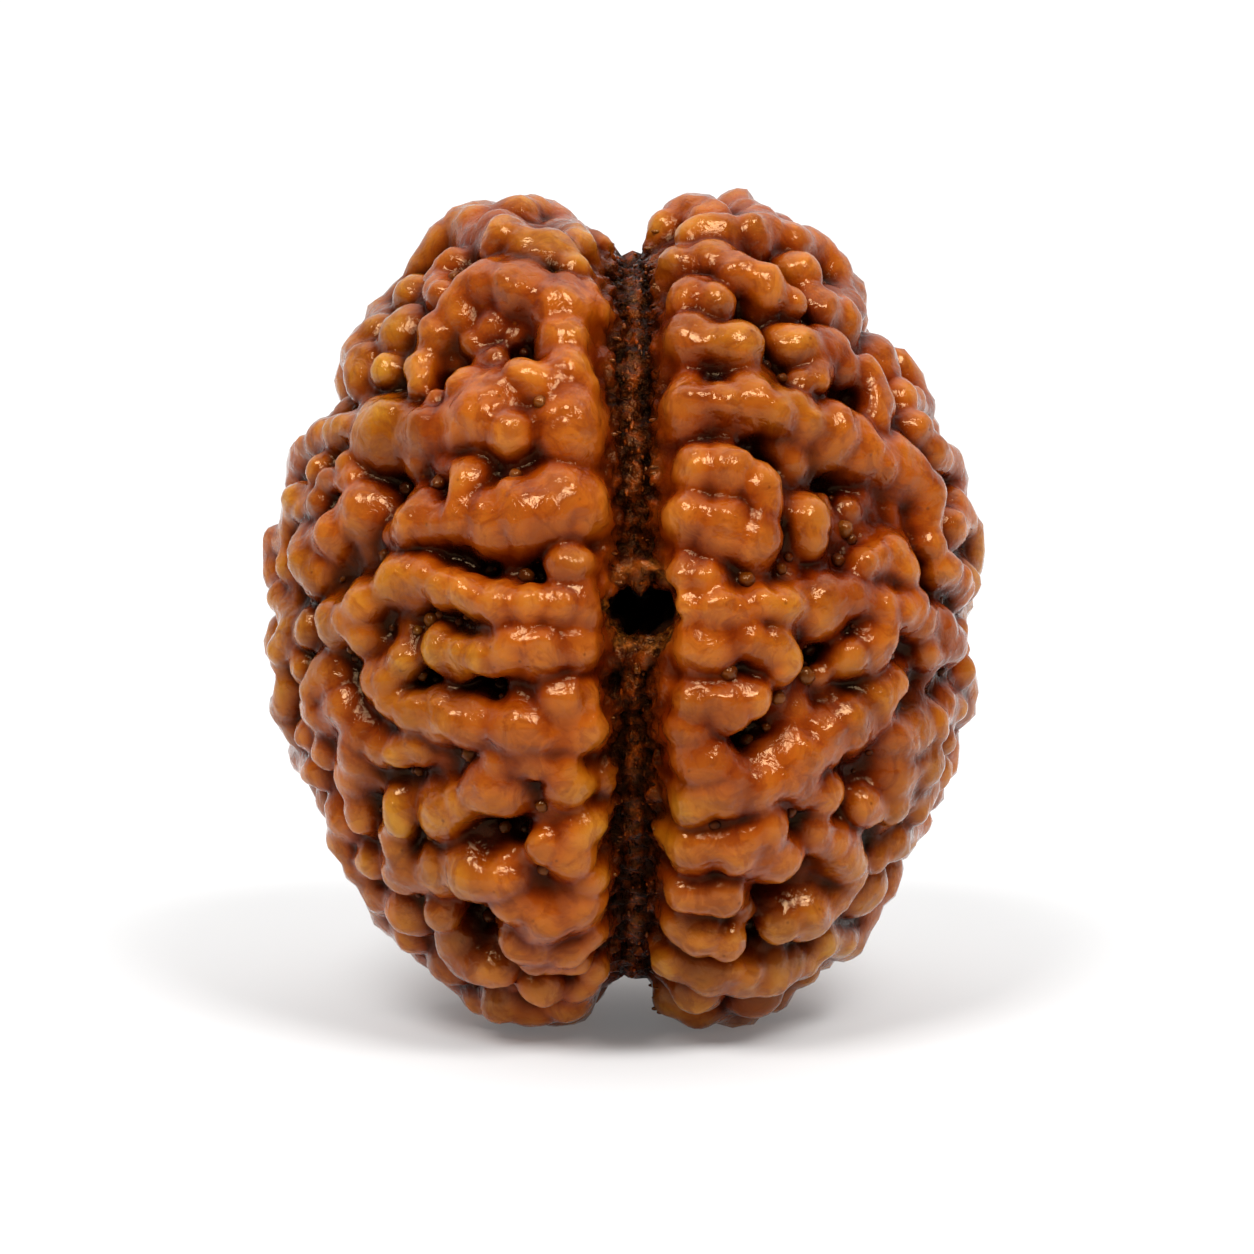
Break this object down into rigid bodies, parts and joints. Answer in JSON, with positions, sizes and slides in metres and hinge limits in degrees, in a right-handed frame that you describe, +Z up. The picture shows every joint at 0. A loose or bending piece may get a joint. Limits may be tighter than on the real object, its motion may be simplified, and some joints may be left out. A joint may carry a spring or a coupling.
{
  "type": "two-faced rudraksha bead",
  "caption": "Natural rudraksha seed stone bead with knobbly lobed ridges, a seam round it and a bore through the middle, leaning back on its lower knobs.",
  "frame": {"origin": "middle of the bead's bounding box, on the surface that it rests on", "axes": "+Z up, nearly along the seams; -Y towards the mouth of the bore that is looked into, which is tipped up by the lean; +X across both lobes"},
  "size_m": [0.0206, 0.0198, 0.0236],
  "materials": {
    "seed_stone": "oiled and polished brown seed stone, glossy on the ridges and dark in the crevices"
  },
  "bodies": {
    "root": {"bead": "seed_stone"}
  },
  "joints": []
}
